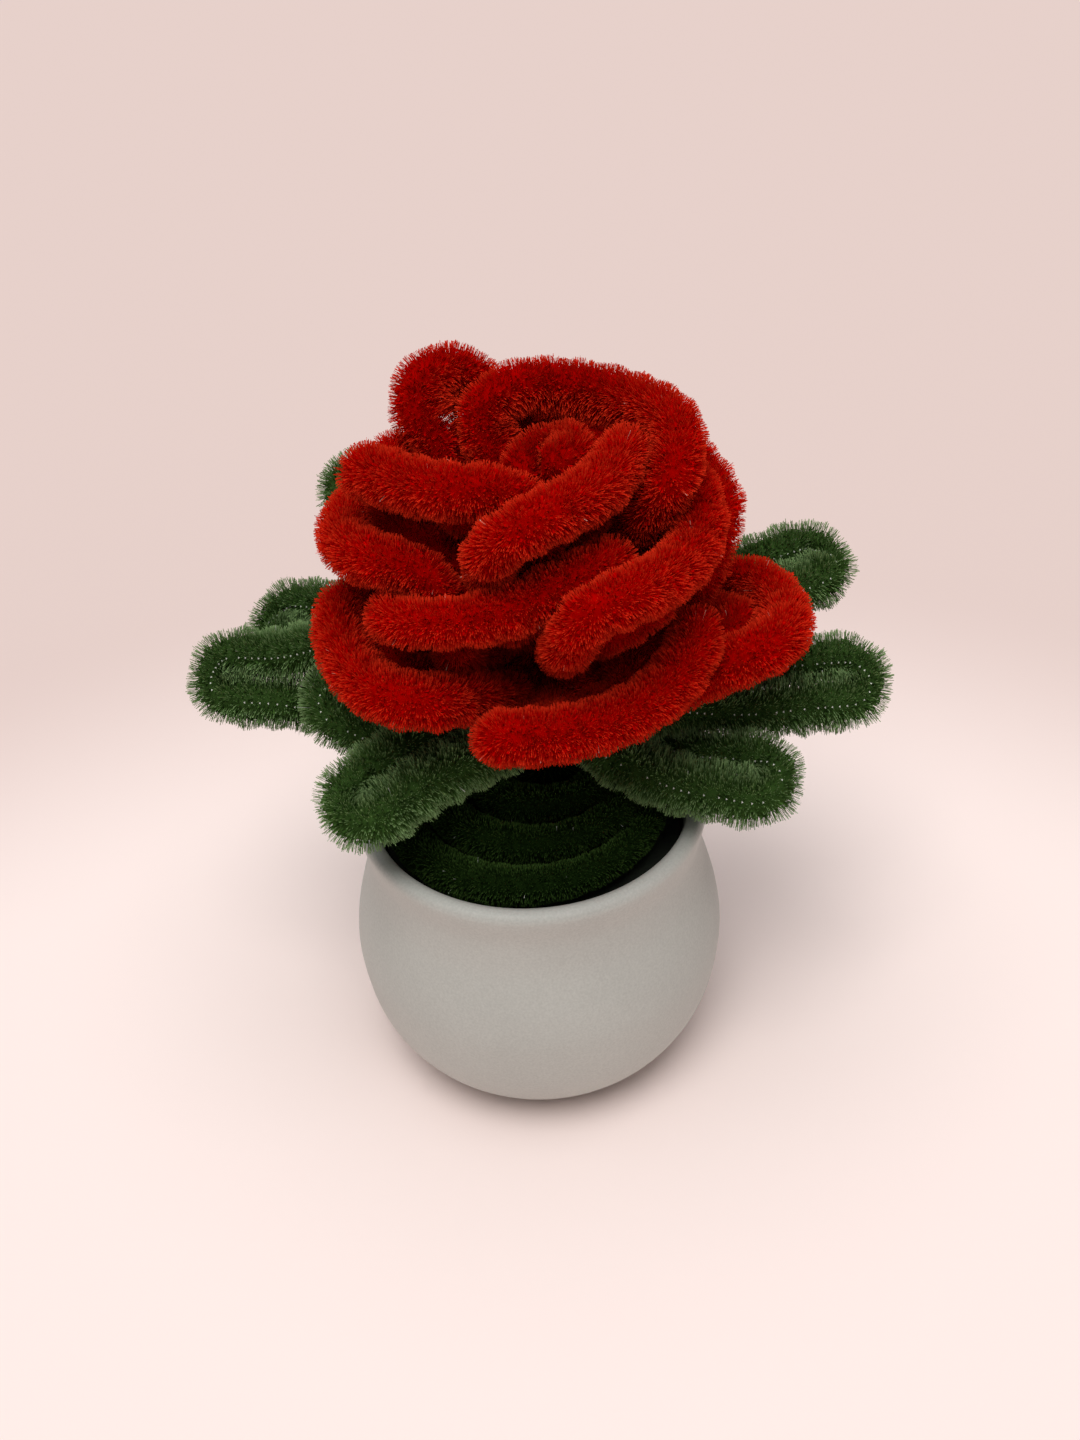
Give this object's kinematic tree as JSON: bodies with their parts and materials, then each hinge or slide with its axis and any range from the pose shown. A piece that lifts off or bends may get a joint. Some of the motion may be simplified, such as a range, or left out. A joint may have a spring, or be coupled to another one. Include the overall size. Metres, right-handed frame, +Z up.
{
  "type": "potted flower ornament",
  "caption": "Craft rose bent from fluffy stems: looped red petals over spreading green hairpin leaves, with a green coil in the mouth of a small round pot.",
  "frame": {"origin": "middle of the pot's foot, on the surface it stands on", "axes": "+Z up along the pot's axis, -Y towards the front of the flower, +X to its right"},
  "size_m": [0.1154, 0.0771, 0.1228],
  "materials": {
    "red_pile": "matte pile",
    "green_pile": "matte pile",
    "dark_green_pile": "matte pile",
    "glaze": "matte ceramic",
    "foam": "matte foam"
  },
  "bodies": {
    "root": {"pot": "glaze", "foam_plug": "foam", "stem": "dark_green_pile", "pot_coil": "dark_green_pile", "petal_core": "red_pile", "bud": "red_pile", "petal_inner_back": "red_pile", "petal_inner_left": "red_pile", "petal_inner_right": "red_pile", "petal_tall_left": "red_pile", "petal_middle_left": "red_pile", "petal_middle_front": "red_pile", "petal_middle_right": "red_pile", "petal_back_right": "red_pile", "petal_back": "red_pile", "petal_back_left": "red_pile", "petal_low_left": "red_pile", "petal_low_front": "red_pile", "petal_low_right": "red_pile", "petal_low_back_right": "red_pile", "petal_low_back_left": "red_pile", "leaf_front_left": "green_pile", "leaf_left": "green_pile", "leaf_low_left": "green_pile", "leaf_back_left": "green_pile", "leaf_back": "green_pile", "leaf_back_right": "green_pile", "leaf_right": "green_pile", "leaf_front_right": "green_pile"}
  },
  "joints": []
}
